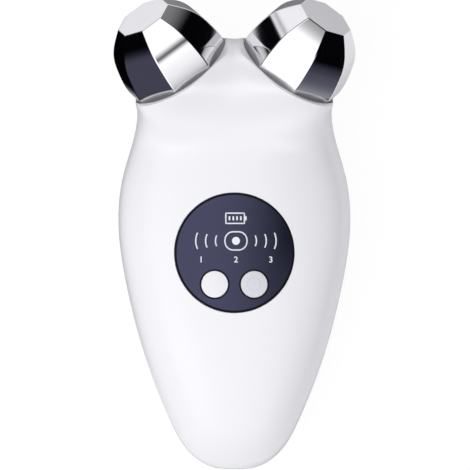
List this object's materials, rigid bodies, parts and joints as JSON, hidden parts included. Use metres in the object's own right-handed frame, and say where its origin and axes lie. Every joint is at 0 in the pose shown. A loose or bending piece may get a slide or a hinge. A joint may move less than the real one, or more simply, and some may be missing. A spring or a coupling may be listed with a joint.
{
  "type": "facial toning device",
  "caption": "Hand-held facial toning device: a waisted plastic body with a round control window, press buttons, and faceted metal rollers that turn freely on splayed axles.",
  "frame": {"origin": "middle of the footprint, on the plane that the device rests on when it lies on its back", "axes": "+X to the right of someone who looks at the control window, +Y from the tip to the rollers, +Z out of the control window"},
  "size_m": [0.064, 0.1251, 0.0395],
  "materials": {
    "white_abs": "high gloss",
    "window": "high gloss",
    "button": "satin gloss",
    "chrome": "mirror",
    "hub_alloy": "turned",
    "bronze": "turned",
    "steel": "ground",
    "dark_plastic": "matte",
    "white_plastic": "matte",
    "rubber": "matte",
    "board": "solder mask",
    "led": "clear",
    "cell": "foil",
    "foam": "matte",
    "lead_red": "satin",
    "copper": "plain"
  },
  "bodies": {
    "body": {"front_housing": "white_abs", "rear_housing": "white_abs", "panel_lens": "window", "panel_gasket": "foam", "mode_switch": "dark_plastic", "power_switch": "dark_plastic", "status_leds": "led", "light_shield": "dark_plastic", "diffuser": "white_plastic", "main_board": "board", "microcontroller": "dark_plastic", "boost_coil": "dark_plastic", "usb_socket": "steel", "usb_tongue": "dark_plastic", "battery_cell": "cell", "battery_pad": "foam", "battery_leads": "lead_red", "roller_bracket": "dark_plastic", "housing_screws": "steel", "board_screws": "steel", "bracket_screws": "steel", "left_lead": "lead_red", "left_terminal": "copper", "left_axle": "steel", "left_axle_clip": "steel", "left_axle_seal": "rubber", "left_axle_nut": "steel", "right_lead": "lead_red", "right_terminal": "copper", "right_axle": "steel", "right_axle_clip": "steel", "right_axle_seal": "rubber", "right_axle_nut": "steel"},
    "left_roller": {"left_roller_shell": "chrome", "left_roller_hub": "hub_alloy", "left_front_bush": "bronze", "left_rear_bush": "bronze", "left_base_ring": "dark_plastic"},
    "right_roller": {"right_roller_shell": "chrome", "right_roller_hub": "hub_alloy", "right_front_bush": "bronze", "right_rear_bush": "bronze", "right_base_ring": "dark_plastic"},
    "mode_button": {"mode_keycap": "button", "mode_plunger": "dark_plastic"},
    "power_button": {"power_keycap": "button", "power_plunger": "dark_plastic"}
  },
  "joints": [
    {"name": "left_roller_spin", "type": "hinge", "parent": "body", "child": "left_roller", "pos_m": [-0.018, 0.04848, 0.02596], "axis": [-0.506, 0.7393, 0.4442], "continuous": true},
    {"name": "right_roller_spin", "type": "hinge", "parent": "body", "child": "right_roller", "pos_m": [0.018, 0.04848, 0.02596], "axis": [0.506, 0.7393, 0.4442], "continuous": true},
    {"name": "mode_button_press", "type": "slide", "parent": "body", "child": "mode_button", "axis": [0, 0, -1], "range_m": [0, 0.00035], "stiffness_N_per_m": 1500, "springref_m": -0.0005},
    {"name": "power_button_press", "type": "slide", "parent": "body", "child": "power_button", "axis": [0, 0, -1], "range_m": [0, 0.00035], "stiffness_N_per_m": 1500, "springref_m": -0.0005}
  ]
}
